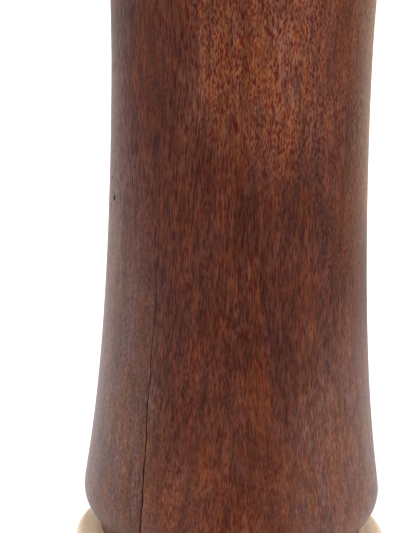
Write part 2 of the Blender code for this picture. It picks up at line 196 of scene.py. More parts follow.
class Graph:
    """A material's node tree, built node by node. An input is a number, a tuple or another node's output."""

    def __init__(self, name):
        self.material = bpy.data.materials.new(name)
        self.material.use_nodes = True
        self.tree = self.material.node_tree
        self.shader = self.tree.nodes["Principled BSDF"]
        place = self.tree.nodes.new("ShaderNodeTexCoord").outputs["Object"]
        self.place = self.vector("SCALE", place, scale=1 / MM)

    def put(self, socket, value):
        if isinstance(value, bpy.types.NodeSocket):
            self.tree.links.new(value, socket)
        elif value is not None:
            socket.default_value = value

    def node(self, kind, inputs, output=0, **settings):
        node = self.tree.nodes.new(kind)
        for key, value in settings.items():
            setattr(node, key, value)
        for key, value in inputs.items():
            if value is not None:
                self.put(node.inputs[key], value)
        return node.outputs[output]

    def math(self, operation, a, b=None, c=None):
        return self.node("ShaderNodeMath", {0: a, 1: b, 2: c}, operation=operation)

    def vector(self, operation, a, b=None, scale=None):
        output = "Value" if operation in ("LENGTH", "DISTANCE") else "Vector"
        return self.node("ShaderNodeVectorMath", {0: a, 1: b, 3: scale}, output, operation=operation)

    def split(self, vector, axis):
        return self.node("ShaderNodeSeparateXYZ", {0: vector}, "XYZ".index(axis))

    def join(self, x, y, z):
        return self.node("ShaderNodeCombineXYZ", {0: x, 1: y, 2: z})

    def stretch(self, vector, sizes, shift=(0.0, 0.0, 0.0)):
        """The place measured in cells of these sizes in millimetres."""
        return self.node(
            "ShaderNodeMapping",
            {"Vector": vector, "Location": shift, "Scale": tuple(1 / s for s in sizes)},
        )

    def noise(self, vector, detail=2.0, rough=0.5, distortion=0.0, colour=False):
        return self.node(
            "ShaderNodeTexNoise",
            {"Vector": vector, "Scale": 1.0, "Detail": detail, "Roughness": rough, "Distortion": distortion},
            1 if colour else 0,
        )

    def cells(self, vector):
        """How far a place is from the nearest of many scattered points."""
        inputs = {"Vector": vector, "Scale": 1.0, "Randomness": 1.0}
        return self.node("ShaderNodeTexVoronoi", inputs, "Distance", feature="F1")

    def remap(self, value, low, high, to_low=0.0, to_high=1.0):
        """A smooth step from one number to another as the value goes from low to high."""
        inputs = {"Value": value, 1: low, 2: high, 3: to_low, 4: to_high}
        return self.node("ShaderNodeMapRange", inputs, interpolation_type="SMOOTHSTEP", clamp=True)

    def mix(self, factor, a, b, blend="MIX"):
        """A mix of two colours."""
        return self.node("ShaderNodeMix", {0: factor, 6: a, 7: b}, 2, data_type="RGBA", blend_type=blend)

    def between(self, factor, a, b):
        """A mix of two numbers."""
        return self.node("ShaderNodeMix", {0: factor, 2: a, 3: b}, 0)

    def bump(self, height, distance, normal=None):
        """A bump whose height of 1 stands this many millimetres proud."""
        inputs = {"Height": height, "Distance": distance * MM, "Strength": 1.0, "Normal": normal}
        return self.node("ShaderNodeBump", inputs)

    def shake(self, vector, sizes, amount):
        """A place shifted to and fro by up to half this many millimetres, in waves of these sizes."""
        shift = self.noise(self.stretch(vector, sizes), 1.0, colour=True)
        shift = self.vector("SCALE", self.vector("SUBTRACT", shift, (0.5, 0.5, 0.5)), scale=amount)
        return self.vector("ADD", vector, shift)

    def finish(self, **inputs):
        for key, value in inputs.items():
            self.put(self.shader.inputs[key.replace("_", " ")], value)
        return self.material


def rgb(red, green, blue):
    return (red, green, blue, 1.0)


# ---------------------------------------------------------------- mahogany

# where on the body the timber differs, and where a sheen is painted into it: each patch's centre, and its
# reach along X, Y and Z, in millimetres
PATCHES = {
    "upper": ((3, -20, 112), (15, 17, 46)),
    "upper_left": ((-14, -14, 98), (9, 14, 62)),
    "right": ((17, -14, 118), (10, 15, 42)),
    "right_middle": ((17, -14, 72), (11, 15, 34)),
    "lower_left": ((-21, -11, 34), (11, 18, 38)),
    "lower_middle": ((0, -22, 50), (15, 14, 34)),
    "lower_right": ((17, -14, 22), (11, 15, 28)),
    "bottom": ((2, -23, 20), (16, 14, 22)),
}
# what a patch does: makes short pores or dots likelier, makes the ground paler, paints a greyish sheen into
# it, weakens the pores
SHORT_PORES = {
    "upper": 0.18, "right": 0.05, "lower_middle": -0.08, "upper_left": -0.08, "lower_right": -0.08}
DOT_PORES = {"lower_left": 0.26, "lower_right": 0.12, "lower_middle": -0.10}
PALER = {
    "upper": 0.41, "right": 0.20, "upper_left": -0.32, "lower_middle": -0.24,
    "lower_right": 0.22, "lower_left": -0.16, "right_middle": -0.14, "bottom": 0.26}
# painted sheen: the greyish haze of reflection on the lower left and right, painted into the ground's colour
PAINTED_SHEEN = {"lower_left": 0.54, "lower_right": 0.42}
WEAKER_PORES = {"lower_middle": 0.80, "lower_right": 0.66, "bottom": 0.78, "lower_left": 0.80}

GROUND_DEEP = rgb(0.080, 0.0160, 0.0044)
GROUND_PALE = rgb(0.182, 0.0460, 0.0124)
# the greyish colour of that painted sheen
GROUND_PAINTED_SHEEN = rgb(0.132, 0.0560, 0.0260)
# the next two pairs multiply the ground
HUE_WARM, HUE_COOL = rgb(1.07, 0.97, 0.60), rgb(0.93, 1.02, 1.22)
BETWEEN_PORES, IN_PORES = rgb(1.30, 2.00, 3.50), rgb(0.57, 0.0, 0.0)
PORE_SHARE = 0.45  # the even tone that weaker pores come closer to
PORE_DEPTH = 0.02
PIT_DEPTH = 0.30
# painted shade: the near-black colours inside the pin marks and inside the check
PIT_SHADE, CHECK_SHADE = rgb(0.008, 0.005, 0.004), rgb(0.009, 0.004, 0.003)
WOOD_SPECULAR = 0.24
# small pin marks in the body's left side, dented and painted with shade: place in millimetres, radius, how
# strong
PIN_MARKS = (
    ((-19.3, -6.8, 66.8), 0.55, 1.0),
    ((-19.7, -5.2, 69.8), 0.30, 0.8),
    ((-19.7, -5.2, 65.3), 0.30, 0.7),
)


class Mahogany(Graph):
    """The parts of the mahogany's node tree."""

    def __init__(self, name, along):
        super().__init__(name)
        # in the wood's own axes the grain runs along the third
        wood = self.place if along == "Z" else self.join(*(self.split(self.place, axis) for axis in "YZX"))
        self.bent = self.shake(wood, (11, 11, 40), 1.6)
        self.loose = self.shake(self.bent, (1.1, 1.1, 3.2), 0.22)
        self.patches = {key: self.patch(*place) for key, place in PATCHES.items()}

    def patch(self, centre, sizes):
        """1 in the middle of a patch and 0 outside it."""
        apart = self.vector("SUBTRACT", self.place, centre)
        apart = self.vector("MULTIPLY", apart, tuple(1 / size for size in sizes))
        return self.remap(self.vector("LENGTH", apart), 0.55, 1.25, 1.0, 0.0)

    def swell(self, value, pushes):
        """A value pushed up inside some patches and down inside others."""
        for key, push in pushes.items():
            value = self.math("MULTIPLY_ADD", self.patches[key], push, value)
        return value

    def strokes(self, width, length, shift, low, high):
        grain = self.noise(self.stretch(self.loose, (width, width, length), shift), 1.0, 0.45)
        return self.remap(grain, low, high)

    def pores(self):
        """1 in a dark pore and 0 between pores, which run as long fine lines, as short dashes or as dots."""
        spread = self.noise(self.stretch(self.bent, (4.6, 4.6, 13), (8.3, 1.9, 4.4)), 3.0, 0.55)
        short_zone = self.remap(self.swell(spread, SHORT_PORES), 0.46, 0.62)
        spread = self.noise(self.stretch(self.bent, (9, 9, 26), (2.2, 7.7, 6.1)), 2.0)
        dot_zone = self.remap(self.swell(spread, DOT_PORES), 0.52, 0.64)
        lines = self.strokes(0.165, 2.0, (0.0, 0.0, 0.0), 0.42, 0.59)
        dashes = self.strokes(0.175, 0.75, (3.0, 7.0, 1.0), 0.40, 0.62)
        dots = self.strokes(0.22, 0.55, (9.0, 4.0, 6.0), 0.38, 0.64)
        pore = self.between(short_zone, self.between(0.30, lines, dashes), dashes)
        pore = self.between(dot_zone, pore, dots)
        force = self.between(dot_zone, self.between(short_zone, 1.1, 0.88), 0.56)
        for key, weaker in WEAKER_PORES.items():
            force = self.math("MULTIPLY", force, self.between(self.patches[key], 1.0, weaker))
        return self.math("MULTIPLY_ADD", self.math("SUBTRACT", pore, PORE_SHARE), force, PORE_SHARE)

    def ground(self, cloud, streak):
        """The colour under the pores: deep and pale tones, a painted sheen of greyish reflection at the lower
        left and right, lightened and darkened by ribbons, streaks and flecks, with a hue that drifts between
        warm and cool."""
        tone = self.swell(self.math("MULTIPLY_ADD", cloud, 1.1, -0.33), PALER)
        colour = self.mix(tone, GROUND_DEEP, GROUND_PALE)
        # painted sheen: the haze of reflection at the lower left and right, painted into the colour
        painted_sheen = 0.0
        for key, share in PAINTED_SHEEN.items():
            painted_sheen = self.math("MAXIMUM", painted_sheen, self.math("MULTIPLY", self.patches[key], share))
        colour = self.mix(painted_sheen, colour, GROUND_PAINTED_SHEEN)

        ribbon = self.noise(self.stretch(self.bent, (1.5, 1.5, 13), (3.1, 0.7, 0.2)), 2.0, 0.5)
        fleck = self.noise(self.stretch(self.loose, (0.75, 0.75, 1.9), (5.0, 2.0, 9.0)), 1.0, 0.5)
        shade = self.math("MULTIPLY", self.remap(ribbon, 0.35, 0.68, 1.14, 0.80),
                          self.remap(streak, 0.38, 0.70, 1.10, 0.74))
        shade = self.math("MULTIPLY", shade, self.remap(fleck, 0.35, 0.70, 0.92, 1.22))
        colour = self.vector("SCALE", colour, scale=shade)

        small = self.noise(self.stretch(self.loose, (0.95, 0.95, 3.0), (2.6, 4.8, 7.1)), 1.0, 0.5)
        large = self.noise(self.stretch(self.bent, (4.0, 4.0, 14), (6.3, 0.9, 3.3)), 1.0, 0.5)
        drift = self.math("ADD", self.math("MULTIPLY", small, 0.45), self.math("MULTIPLY", large, 0.55))
        hue = self.mix(self.remap(drift, 0.36, 0.64), HUE_WARM, HUE_COOL)
        return self.mix(1.0, colour, hue, "MULTIPLY")

    def pin_marks(self):
        """How strongly a place lies in a pin mark, with uneven outlines: it sets the painted shade, the
        roughness and the dent there.
        """
        uneven = self.shake(self.place, (0.4, 0.4, 0.4), 0.3)
        pit = 0.0
        for place, size, strength in PIN_MARKS:
            apart = self.vector("DISTANCE", uneven, place)
            pit = self.math("MAXIMUM", pit, self.remap(apart, size * 0.5, size, strength, 0.0))
        return pit


def mahogany(name, along="Z", checked=False):
    """Satin mahogany with open pores, and on the body its pin marks and the inside of its check, both painted
    with shade.
    """
    g = Mahogany(name, along)
    cloud = g.noise(g.stretch(g.bent, (6, 6, 16), (0.4, 5.2, 1.3)), 2.0)
    streak = g.noise(g.stretch(g.loose, (0.42, 0.42, 6.0), (5.5, 2.7, 0.3)), 2.0, 0.6)
    pore = g.pores()
    colour = g.mix(1.0, g.ground(cloud, streak), g.mix(pore, BETWEEN_PORES, IN_PORES), "MULTIPLY")
    rough = g.between(pore, g.remap(cloud, 0.3, 0.7, 0.34, 0.40), 0.48)
    height = g.math("MULTIPLY_ADD", pore, -1.0, g.math("MULTIPLY", streak, -0.4))
    normal = g.bump(height, PORE_DEPTH)
    if checked:
        # painted shade in the pin marks, besides their dent and roughness
        pit = g.pin_marks()
        # painted shade: the check's inside, marked on the body's vertices, gets a near-black colour
        inside = g.node("ShaderNodeAttribute", {}, "Fac", attribute_name="check")
        colour = g.mix(inside, g.mix(pit, colour, PIT_SHADE), CHECK_SHADE)
        rough = g.between(pit, rough, 1.0)
        normal = g.bump(pit, -PIT_DEPTH, normal=normal)
    return g.finish(Base_Color=colour, Roughness=rough, Normal=normal, Specular_IOR_Level=WOOD_SPECULAR)


# ---------------------------------------------------------------- the other materials

MAPLE_DEEP, MAPLE_PALE = rgb(0.66, 0.490, 0.335), rgb(0.765, 0.605, 0.44)
MAPLE_RING, MAPLE_FIBRE = rgb(0.44, 0.28, 0.155), rgb(0.43, 0.275, 0.155)
MAPLE_FLECK = rgb(0.35, 0.20, 0.105)
FELT_DARK, FELT_LIGHT = rgb(0.010, 0.042, 0.024), rgb(0.030, 0.105, 0.060)
FELT_CLUMP, FELT_SHEEN = rgb(0.014, 0.052, 0.034), rgb(0.35, 0.60, 0.45)
BRASS, BRASS_DULL = rgb(0.80, 0.58, 0.26), rgb(0.52, 0.35, 0.15)
STEEL, STEEL_DULL = rgb(0.55, 0.55, 0.56), rgb(0.30, 0.29, 0.28)


def maple(name, along):
    """Pale close-grained maple: faint growth lines, fine fibres and short flecks."""
    g = Graph(name)
    # in the wood's own axes the grain runs along the third
    wood = g.join(*(g.split(g.place, axis) for axis in {"X": "YZX", "Y": "ZXY"}[along]))
    bent = g.shake(wood, (12, 12, 60), 3.0)
    # the growth lines are rings round a pith that lies outside the disc
    across = g.vector("LENGTH", g.vector("MULTIPLY", g.vector("ADD", bent, (38.0, 61.0, 0.0)), (1, 1, 0)))
    rings = g.node("ShaderNodeTexWave", {
        "Vector": g.join(across, 0.0, 0.0), "Scale": 0.115, "Distortion": 1.4, "Detail": 2.0,
        "Detail Scale": 1.6}, 1)
    fibre = g.noise(g.stretch(bent, (0.35, 0.35, 7)), 3.0, 0.6)
    fleck = g.remap(g.cells(g.stretch(bent, (0.55, 0.55, 2.2))), 0.12, 0.32, 1.0, 0.0)
    cloud = g.noise(g.stretch(bent, (15, 15, 40)), 2.0)
    colour = g.mix(g.remap(cloud, 0.3, 0.7), MAPLE_DEEP, MAPLE_PALE)
    colour = g.mix(g.remap(rings, 0.62, 1.0, 0.0, 0.35), colour, MAPLE_RING)
    colour = g.mix(g.remap(fibre, 0.45, 0.8, 0.0, 0.3), colour, MAPLE_FIBRE)
    colour = g.mix(g.math("MULTIPLY", fleck, 0.28), colour, MAPLE_FLECK)
    height = g.math("MULTIPLY_ADD", fibre, 0.5, g.math("MULTIPLY", fleck, -0.4))
    return g.finish(
        Base_Color=colour,
        Roughness=g.remap(cloud, 0.3, 0.7, 0.40, 0.48),
        Normal=g.bump(height, 0.02),
        Coat_Weight=0.2,
        Coat_Roughness=0.3,
    )


def turned_metal(name, colour, dull, centre=(0.0, 0.0), rough=0.22):
    """Lathe-turned metal: fine rings round the axis, dull patches and light scuffs."""
    g = Graph(name)
    local = g.vector("SUBTRACT", g.place, (*centre, 0.0))
    radius = g.vector("LENGTH", g.vector("MULTIPLY", local, (1, 1, 0)))
    rings_per_mm = 9.0
    rings = g.join(g.math("MULTIPLY", radius, rings_per_mm),
                   g.math("MULTIPLY", g.split(local, "Z"), rings_per_mm), 0.0)
    patch = g.noise(g.stretch(g.place, (3.5, 3.5, 3.5)), 3.0, 0.6)
    scuff = g.noise(g.stretch(g.place, (0.25, 1.8, 1.1)), 2.0, 0.7)
    return g.finish(
        Base_Color=g.mix(g.remap(patch, 0.35, 0.75, 0.0, 0.6), colour, dull),
        Metallic=1.0,
        Roughness=g.math("ADD", g.remap(patch, 0.3, 0.8, rough - 0.05, rough + 0.13),
                         g.remap(scuff, 0.6, 0.9, 0.0, 0.15)),
        Normal=g.bump(g.noise(rings, 3.0, 0.7), 0.006),
    )


def felt(name):
    """Dense wool felt: matted fibres of several greens with a soft sheen."""
    g = Graph(name)
    fibre = g.noise(g.stretch(g.place, (0.5, 0.12, 0.35)), 4.0, 0.7, 1.5)
    other = g.noise(g.stretch(g.place, (0.12, 0.5, 0.35), (4, 4, 4)), 4.0, 0.7, 1.5)
    matted = g.math("MAXIMUM", fibre, other)
    clump = g.noise(g.stretch(g.place, (2.4, 2.4, 2.4)), 2.0)
    colour = g.mix(g.remap(matted, 0.4, 0.75), FELT_DARK, FELT_LIGHT)
    colour = g.mix(g.remap(clump, 0.35, 0.7, 0.0, 0.4), colour, FELT_CLUMP)
    return g.finish(
        Base_Color=colour,
        Roughness=g.remap(matted, 0.3, 0.8, 0.98, 0.88),
        Normal=g.bump(matted, 0.16),
        Sheen_Weight=0.5,
        Sheen_Roughness=0.45,
        Sheen_Tint=FELT_SHEEN,
    )


# ---------------------------------------------------------------- the body and its drying check

# heights in this part are above the base disc's top
TENON_R, TENON_HEIGHT = 18.6, 2.1
BODY_HEIGHT = TENON_TOP - TENON_HEIGHT - BASE_TOP
UPPER_NECK_R, UPPER_NECK_LOW = 21.0, BODY_HEIGHT - 2.9
LOWER_NECK_R, LOWER_NECK_TOP, LOWER_NECK_LOW = 21.37, 2.77, 0.15
SHOULDER, SHOULDER_ROUNDING = (23.7, 114.0), 6.0
WAIST = (20.26, 72.4)
FOOT, FOOT_ROUNDING = (BODY_R, 7.25), 6.47
WELL_R, WELL_FLOOR = 16.0, 31.0
POCKET_R, POCKET_ROOF, POCKET_DEPTH = 13.15, 10.15, 5.0  # for the ballast, in the body and in the base disc

CHECK_ANGLE = math.radians(-90 - 36.8)  # towards the viewer's left of the front, which is at -90
CHECK_LOW, CHECK_HIGH = 2.9, 50.0
CHECK_HALF_WIDTH = 0.14
CHECK_DEPTH, CHECK_STEEPNESS = 1.6, 9.0
OUTSIDE_R = 20.0  # a ring wider than this is on the body's outside
BAND_HALF = 1.4
BAND_TURN = BAND_HALF / 22.0
BAND_MIN_R = 13.0  # on rings narrower than this the band turns no further
BAND_SIDE = ((0.28, 0.0), (0.55, 0.0), (1.0, 0.0))
EVEN_STEPS = 288


def check_drift(z):
    """How far the check wanders round the body at height z, in millimetres."""
    return 0.30 * math.sin(z * 0.155 + 0.6) + 0.10 * math.sin(z * 0.61 + 2.0) + 0.05 * math.sin(z * 1.9)


def check_half_width(z):
    """Half the width of the check at height z, in millimetres."""
    if z > CHECK_HIGH:
        return 0.0
    open_share = min(1.0, (CHECK_HIGH - z) / (CHECK_HIGH - CHECK_LOW))
    waver = 1.0 + 0.25 * math.sin(z * 1.3) + 0.15 * math.sin(z * 3.7 + 1.0)
    return CHECK_HALF_WIDTH * open_share ** 0.55 * waver


def check_band(half):
    """Places across the band in millimetres, each with its share of the check's depth."""
    side = [(half * 0.6, 0.6), (half, 0.04), (half + 0.03, 0.0), *BAND_SIDE]
    middle = (0.0, 1.0)
    if half <= 0.0:
        side = [(0.02, 0.0), (0.04, 0.0), (0.06, 0.0), *BAND_SIDE]
        middle = (0.0, 0.0)
    return [(-offset, share) for offset, share in reversed(side)] + [middle] + side


def body_ring(r, z):
    """One ring of the body's vertices, and for each whether it is inside the check (1.0) or not (0.0)."""
    outside = r > OUTSIDE_R
    half = check_half_width(z) if outside else 0.0
    drift = check_drift(z) if outside else 0.0
    depth = min(CHECK_DEPTH, CHECK_STEEPNESS * half)
    spare = 2 * math.pi - 2 * BAND_TURN
    polars = [(r, CHECK_ANGLE + BAND_TURN + spare * i / (EVEN_STEPS - 1)) for i in range(EVEN_STEPS)]
    inside = [0.0] * EVEN_STEPS
    for offset, share in check_band(half):
        offset += drift * (1 - abs(offset) / BAND_HALF)
        polars.append((r - share * depth, CHECK_ANGLE + offset / max(r, BAND_MIN_R)))
        inside.append(1.0 if share > 0.2 else 0.0)
    return [(radius * math.cos(a), radius * math.sin(a), z + BASE_TOP) for radius, a in polars], inside


def outer_profile():
    """The body's outside from its upper neck down to its lower neck, closely spaced."""
    upper_centre = (SHOULDER[0] - SHOULDER_ROUNDING, SHOULDER[1])
    upper_turn = math.degrees(math.asin((UPPER_NECK_LOW - SHOULDER[1]) / SHOULDER_ROUNDING))
    lower_turn = math.degrees(math.asin((FOOT[1] - LOWER_NECK_TOP) / FOOT_ROUNDING))
    edge_r = upper_centre[0] + SHOULDER_ROUNDING * math.cos(math.radians(upper_turn))
    points = rounded([
        (TENON_R, BODY_HEIGHT, 0), (UPPER_NECK_R, BODY_HEIGHT, 0.2), (UPPER_NECK_R, UPPER_NECK_LOW, 0.25),
        (edge_r, UPPER_NECK_LOW, 0)])
    points += arc(upper_centre, SHOULDER_ROUNDING, upper_turn, 0, 14)[1:]
    points += flank(SHOULDER, -2.0, WAIST, 28.7, 56)[1:]
    points += flank(WAIST, -47.7, FOOT, 3.0, 80)[1:]
    points += arc((FOOT[0] - FOOT_ROUNDING, FOOT[1]), FOOT_ROUNDING, 0, -lower_turn, 16)[1:]
    points += rounded([
        (points[-1][0], LOWER_NECK_TOP, 0), (LOWER_NECK_R, LOWER_NECK_TOP, 0.25),
        (LOWER_NECK_R, LOWER_NECK_LOW, 0.1), (POCKET_R, LOWER_NECK_LOW, 0)])[1:]
    return points


def make_body(material):
    """The body, with a real groove where the timber has checked."""
    tenon_top = BODY_HEIGHT + TENON_HEIGHT
    profile = [(WELL_R, tenon_top), (TENON_R, tenon_top), *outer_profile(), (POCKET_R, POCKET_ROOF),
               (0.0, POCKET_ROOF), (0.0, WELL_FLOOR), (WELL_R, WELL_FLOOR)]
    verts, rows, inside = [], [], []
    for r, z in profile:
        first = len(verts)
        ring, marks = body_ring(r, z)
        row = list(range(first, first + len(ring)))
        if r == 0.0:
            ring, marks, row = ring[:1], marks[:1], [first] * len(ring)
        verts += ring
        inside += marks
        rows.append(row)
    faces = skin(zip(rows, rows[1:] + rows[:1]))
    body = to_object("turned_body", verts, faces, material, "holder", "mahogany_body", sharp=50)
    # marks the check's inside, where shade is painted into the colour
    attribute = body.data.attributes.new("check", "FLOAT", "POINT")
    attribute.data.foreach_set("value", inside)


# ---------------------------------------------------------------- the other pieces of the holder


def make_base(material):
    """The base disc, with the lower part of the ballast's pocket in its top."""
    upper, lower, floor = 2.0, 1.0, BASE_TOP - POCKET_DEPTH
    points = rounded([
        (0, floor, 0), (POCKET_R, floor, 0), (POCKET_R, BASE_TOP, 0.1), (BASE_R - upper, BASE_TOP, 0)])
    points += arc((BASE_R - upper, BASE_TOP - upper), upper, 90, 0, 12)
    points += arc((BASE_R - lower, BASE_LOW + lower), lower, 0, -90, 6)
    points += [(0, BASE_LOW)]
    lathe("base_disc", points, material, "holder", "maple_base", 224)


def make_felt_foot(material):
    """The felt disc under the base, with a slightly uneven rim."""
    corners = [(0, FELT_TOP, 0), (FELT_R, FELT_TOP, 0.25), (FELT_R, FELT_LOW, 0.25), (0, FELT_LOW, 0)]
    verts, faces = turned(rounded(corners), 200)
    verts = np.array(verts)
    rng = np.random.default_rng(7)
    fuzz = rng.uniform(-0.05, 0.0, len(verts))
    rim = np.hypot(verts[:, 0], verts[:, 1]) > FELT_R - 0.4
    verts[rim, :2] *= (1 + fuzz[rim] / FELT_R)[:, None]
    to_object("felt_disc", verts, faces, material, "holder", "felt_foot", sharp=80)


def make_collar(material):
    """The collar: a recess for the rack in its top, a socket for the body's tenon in its underside."""
    recess_r, bore_r, socket_r, rounding = 19.65, 16.4, 18.75, 2.0
    seat, socket_roof = COLLAR_TOP - 4.4, COLLAR_LOW + 2.25
    points = rounded([
        (recess_r, seat, 0.1), (recess_r, COLLAR_TOP, 0.3), (COLLAR_R - rounding, COLLAR_TOP, 0)])
    points += arc((COLLAR_R - rounding, COLLAR_TOP - rounding), rounding, 90, 0, 12)
    points += arc((COLLAR_R - rounding, COLLAR_LOW + rounding), rounding, 0, -90, 12)
    points += rounded([
        (COLLAR_R - rounding - 0.4, COLLAR_LOW, 0), (socket_r, COLLAR_LOW, 0.1), (socket_r, socket_roof, 0.1),
        (bore_r, socket_roof, 0.2), (bore_r, seat, 0.25), (recess_r - 0.15, seat, 0)])
    lathe("collar_ring", points, material, "holder", "maple_collar", 224, closed=True)


def make_liner(material):
    """The thin cup that lines the well."""
    inner, floor = LINER_R - 0.7, LINER_LOW + 0.8
    corners = [
        (0, floor, 0), (inner, floor, 0.6), (inner, LINER_TOP, 0.2), (LINER_R, LINER_TOP, 0.2),
        (LINER_R, LINER_LOW, 0.8), (0, LINER_LOW, 0)]
    lathe("well_liner", rounded(corners), material, "holder", "brass_liner", 160)


def make_well_pad(material):
    """The felt disc on the cup's floor."""
    corners = [(0, PAD_TOP, 0), (PAD_R, PAD_TOP, 0.4), (PAD_R, PAD_LOW, 0.3), (0, PAD_LOW, 0)]
    lathe("well_felt", rounded(corners), material, "holder", "well_pad", 120)


def make_pin(material):
    """The pin that keeps the rack from turning."""
    corners = [(0, PIN_TOP, 0), (PIN_R, PIN_TOP, 0.45), (PIN_R, PIN_LOW, 0.1), (0, PIN_LOW, 0)]
    centre = axis_of("locating_pin")
    lathe("seat_pin", rounded(corners), material, "holder", "locating_pin", 40, centre)


# ---------------------------------------------------------------- the rack and what it carries

FERRULES = 6
HOLE_R = 4.6
BOLT_HOLE_R = 1.4
SOCKET_R, SOCKET_DEPTH = 0.9, 2.05


class Plate:
    """A mesh put together from rings of vertices and the faces between them."""

    def __init__(self):
        self.verts, self.faces = [], []

    def ring(self, x, y, r, z, count):
        """A level ring of vertices round an upright axis."""
        first = len(self.verts)
        for i in range(count):
            a = 2 * math.pi * i / count
            self.verts.append((x + r * math.cos(a), y + r * math.sin(a), z))
        return list(range(first, first + count))

    def wall(self, x, y, levels, count):
        """Rings at a row of levels (r, z)."""
        return [self.ring(x, y, r, z, count) for r, z in levels]

    def bridge(self, a, b):
        """Faces between two rings of the same count."""
        for i in range(len(a)):
            j = (i + 1) % len(a)
            self.faces.append((a[i], b[i], b[j], a[j]))

    def flat(self, outer, inner_rings, openings):
        """Level faces that fill the outer ring but leave its openings (x, y, r) free."""
        index, edges = [], []
        for loop in (outer, *inner_rings):
            start, count = len(index), len(loop)
            edges += [(start + i, start + (i + 1) % count) for i in range(count)]
            index += loop
        places = [Vector(self.verts[i][:2]) for i in index]
        points, _, triangles, sources = delaunay_2d_cdt(places, edges, [], 1, 1e-5)[:4]
        for triangle in triangles:
            middle = sum((points[k] for k in triangle), Vector((0, 0))) / len(triangle)
            if all((middle - Vector((x, y))).length > r for x, y, r in openings):
                self.faces.append([index[sources[k][0]] for k in triangle])


def drill(plate, x, y, r):
    """A hole right through the rack with eased edges. Gives its topmost and its lowest ring."""
    ease, slight = 0.18, 0.05
    levels = [(r + ease, RACK_TOP), (r + slight, RACK_TOP - slight), (r, RACK_TOP - ease),
              (r, RACK_LOW + ease), (r + slight, RACK_LOW + slight), (r + ease, RACK_LOW)]
    rings = plate.wall(x, y, levels, 64 if r > BOLT_HOLE_R else 32)
    for upper, lower in zip(rings, rings[1:]):
        plate.bridge(lower, upper)
    return rings[0], rings[-1]


def sink(plate, x, y, r):
    """A blind socket in the rack's underside. Gives its lowest ring."""
    ease = 0.1
    mouth, lip, roof = plate.wall(
        x, y, [(r + ease, RACK_LOW), (r, RACK_LOW + ease), (r, RACK_LOW + SOCKET_DEPTH)], 24)
    plate.bridge(mouth, lip)
    plate.bridge(lip, roof)
    plate.faces.append(roof)
    return mouth


def make_rack(material):
    """The rack disc, with its pen holes, the bolt's hole and the pin's blind socket."""
    edge = 0.4
    plate = Plate()
    profile = arc((RACK_R - edge, RACK_TOP - edge), edge, 90, 0, 5)
    profile += arc((RACK_R - edge, RACK_LOW + edge), edge, 0, -90, 5)
    rim = plate.wall(0, 0, profile, 192)
    for upper, lower in zip(rim, rim[1:]):
        plate.bridge(upper, lower)
    holes = [(*axis_of(f"ferrule_{i + 1}"), HOLE_R) for i in range(FERRULES)] + [(0.0, 0.0, BOLT_HOLE_R)]
    socket = (*axis_of("locating_pin"), SOCKET_R)
    ends = [drill(plate, *hole) for hole in holes]
    mouth = sink(plate, *socket)
    plate.flat(rim[0], [top for top, _ in ends], holes)
    plate.flat(rim[-1], [low for _, low in ends] + [mouth], holes + [socket])
    to_object("rack_disc", plate.verts, plate.faces, material, "rack", "pen_rack", sharp=40)


def make_ferrules(colour, dull):
    """The flanged eyelets in the pen holes, each with rings turned round its own axis."""
    bore_r, sleeve_r, lip = 4.0, 4.45, 0.25
    flange = FERRULE_TOP - 2 * lip
    for i in range(FERRULES):
        node = f"ferrule_{i + 1}"
        centre = axis_of(node)
        material = turned_metal(f"brass_ferrule_{i + 1}", colour, dull, centre, 0.17)
        points = rounded([(bore_r, FERRULE_LOW + 0.1, 0), (bore_r, FERRULE_TOP, 0.22), (4.9, FERRULE_TOP, 0)])
        points += arc((FERRULE_R - lip, FERRULE_TOP - lip), lip, 90, -90, 10)
        points += rounded([
            (FERRULE_R - 0.3, flange, 0), (sleeve_r, flange, 0.04), (sleeve_r, FERRULE_LOW, 0.12),
            (bore_r, FERRULE_LOW, 0.12), (bore_r, FERRULE_LOW + 0.2, 0)])
        lathe(f"eyelet_{i + 1}", points, material, "rack", node, 72, centre, closed=True)


def make_knob(material):
    """The knob: a ball on a short stem that spreads to a flat foot, bored from below for its bolt."""
    ball_r, throat_r, stem_r, stem_low, bore_depth = 4.5, 2.3, 2.25, KNOB_LOW + 2.2, 5.15
    # the ball's curve stops 3 degrees before it is as narrow as the throat
    turn = math.degrees(math.acos(throat_r / ball_r)) - 3
    points = arc((0, KNOB_TOP - ball_r), ball_r, 90, -turn, 28)
    points[0] = (0, KNOB_TOP)
    points += flank(points[-1], -0.5, (stem_r, stem_low), 0.5, 6)[1:]
    points += rounded([
        (stem_r, stem_low, 0), (2.4, KNOB_LOW + 1.5, 0.3), (3.0, KNOB_LOW + 1.25, 0.2),
        (KNOB_R - 0.3, KNOB_LOW + 0.95, 0.25), (KNOB_R, KNOB_LOW + 0.45, 0.25), (KNOB_R, KNOB_LOW, 0.1),
        (BOLT_HOLE_R, KNOB_LOW, 0)])[1:]
    points += [(BOLT_HOLE_R, KNOB_LOW + bore_depth), (0, KNOB_LOW + bore_depth)]
    lathe("knob", points, material, "rack", "rack_knob", 128)


def make_washer(material):
    """The washer between the bolt's head and the rack."""
    corners = [
        (BOLT_HOLE_R, WASHER_TOP, 0.05), (WASHER_R, WASHER_TOP, 0.1), (WASHER_R, WASHER_LOW, 0.1),
        (BOLT_HOLE_R, WASHER_LOW, 0.05)]
    lathe("washer", rounded(corners, closed=True), material, "rack", "knob_washer", 96, closed=True)


